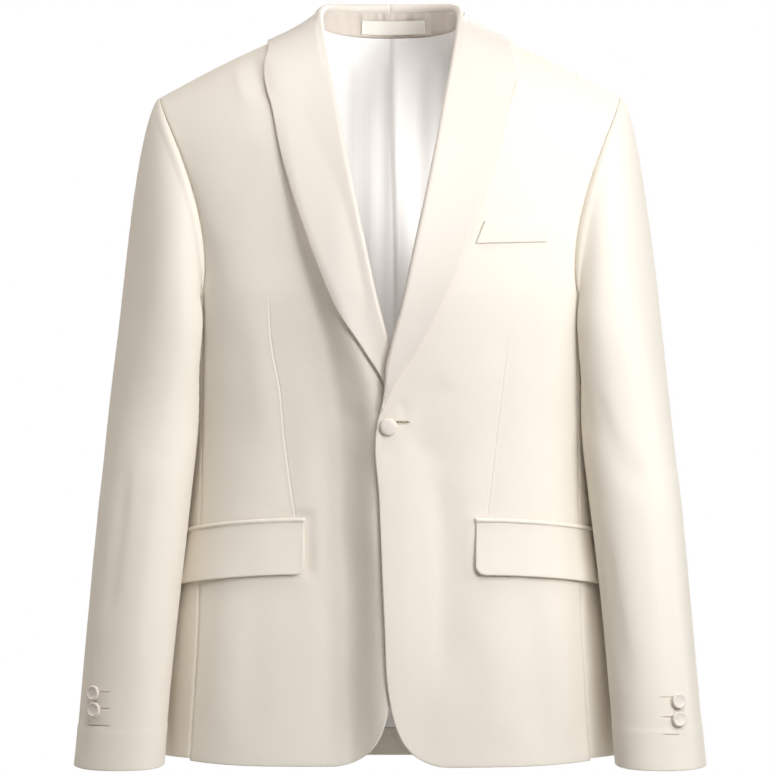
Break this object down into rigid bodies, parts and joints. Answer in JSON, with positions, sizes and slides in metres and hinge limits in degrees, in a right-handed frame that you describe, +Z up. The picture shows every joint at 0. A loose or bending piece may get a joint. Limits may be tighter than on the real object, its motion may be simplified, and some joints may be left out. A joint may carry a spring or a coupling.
{
  "type": "one-button shawl-collar suit jacket",
  "caption": "Ivory suit jacket filled out as worn: shawl collar in satin, covered front button, breast welt, flap pockets, two-piece sleeves and open hem, neck and cuffs.",
  "frame": {"origin": "middle of the line between the two neck points, where the collar meets the shoulder seams and the jacket rests on its wearer's shoulders", "axes": "+Z up along the jacket, from the hem to the collar; the front faces -Y; +X is the wearer's left"},
  "size_m": [0.6212, 0.2332, 0.7625],
  "materials": {
    "ivory_wool": "matte",
    "ivory_satin": "satin",
    "white_lining": "satin",
    "woven_label": "matte"
  },
  "bodies": {
    "root": {"front_left": "ivory_wool", "back_left": "ivory_wool", "side_left": "ivory_wool", "topsleeve_left": "ivory_wool", "undersleeve_left": "ivory_wool", "front_right": "ivory_wool", "back_right": "ivory_wool", "side_right": "ivory_wool", "topsleeve_right": "ivory_wool", "undersleeve_right": "ivory_wool", "shawl_left": "ivory_satin", "shawl_right": "ivory_satin", "neck_band": "ivory_wool", "label": "woven_label", "back_lining": "white_lining", "jet_left": "ivory_wool", "flap_left": "ivory_wool", "jet_right": "ivory_wool", "flap_right": "ivory_wool", "breast_welt": "ivory_wool", "front_button": "ivory_satin", "cuff_button_left_upper": "ivory_satin", "cuff_button_left_lower": "ivory_satin", "cuff_button_right_upper": "ivory_satin", "cuff_button_right_lower": "ivory_satin"}
  },
  "joints": []
}
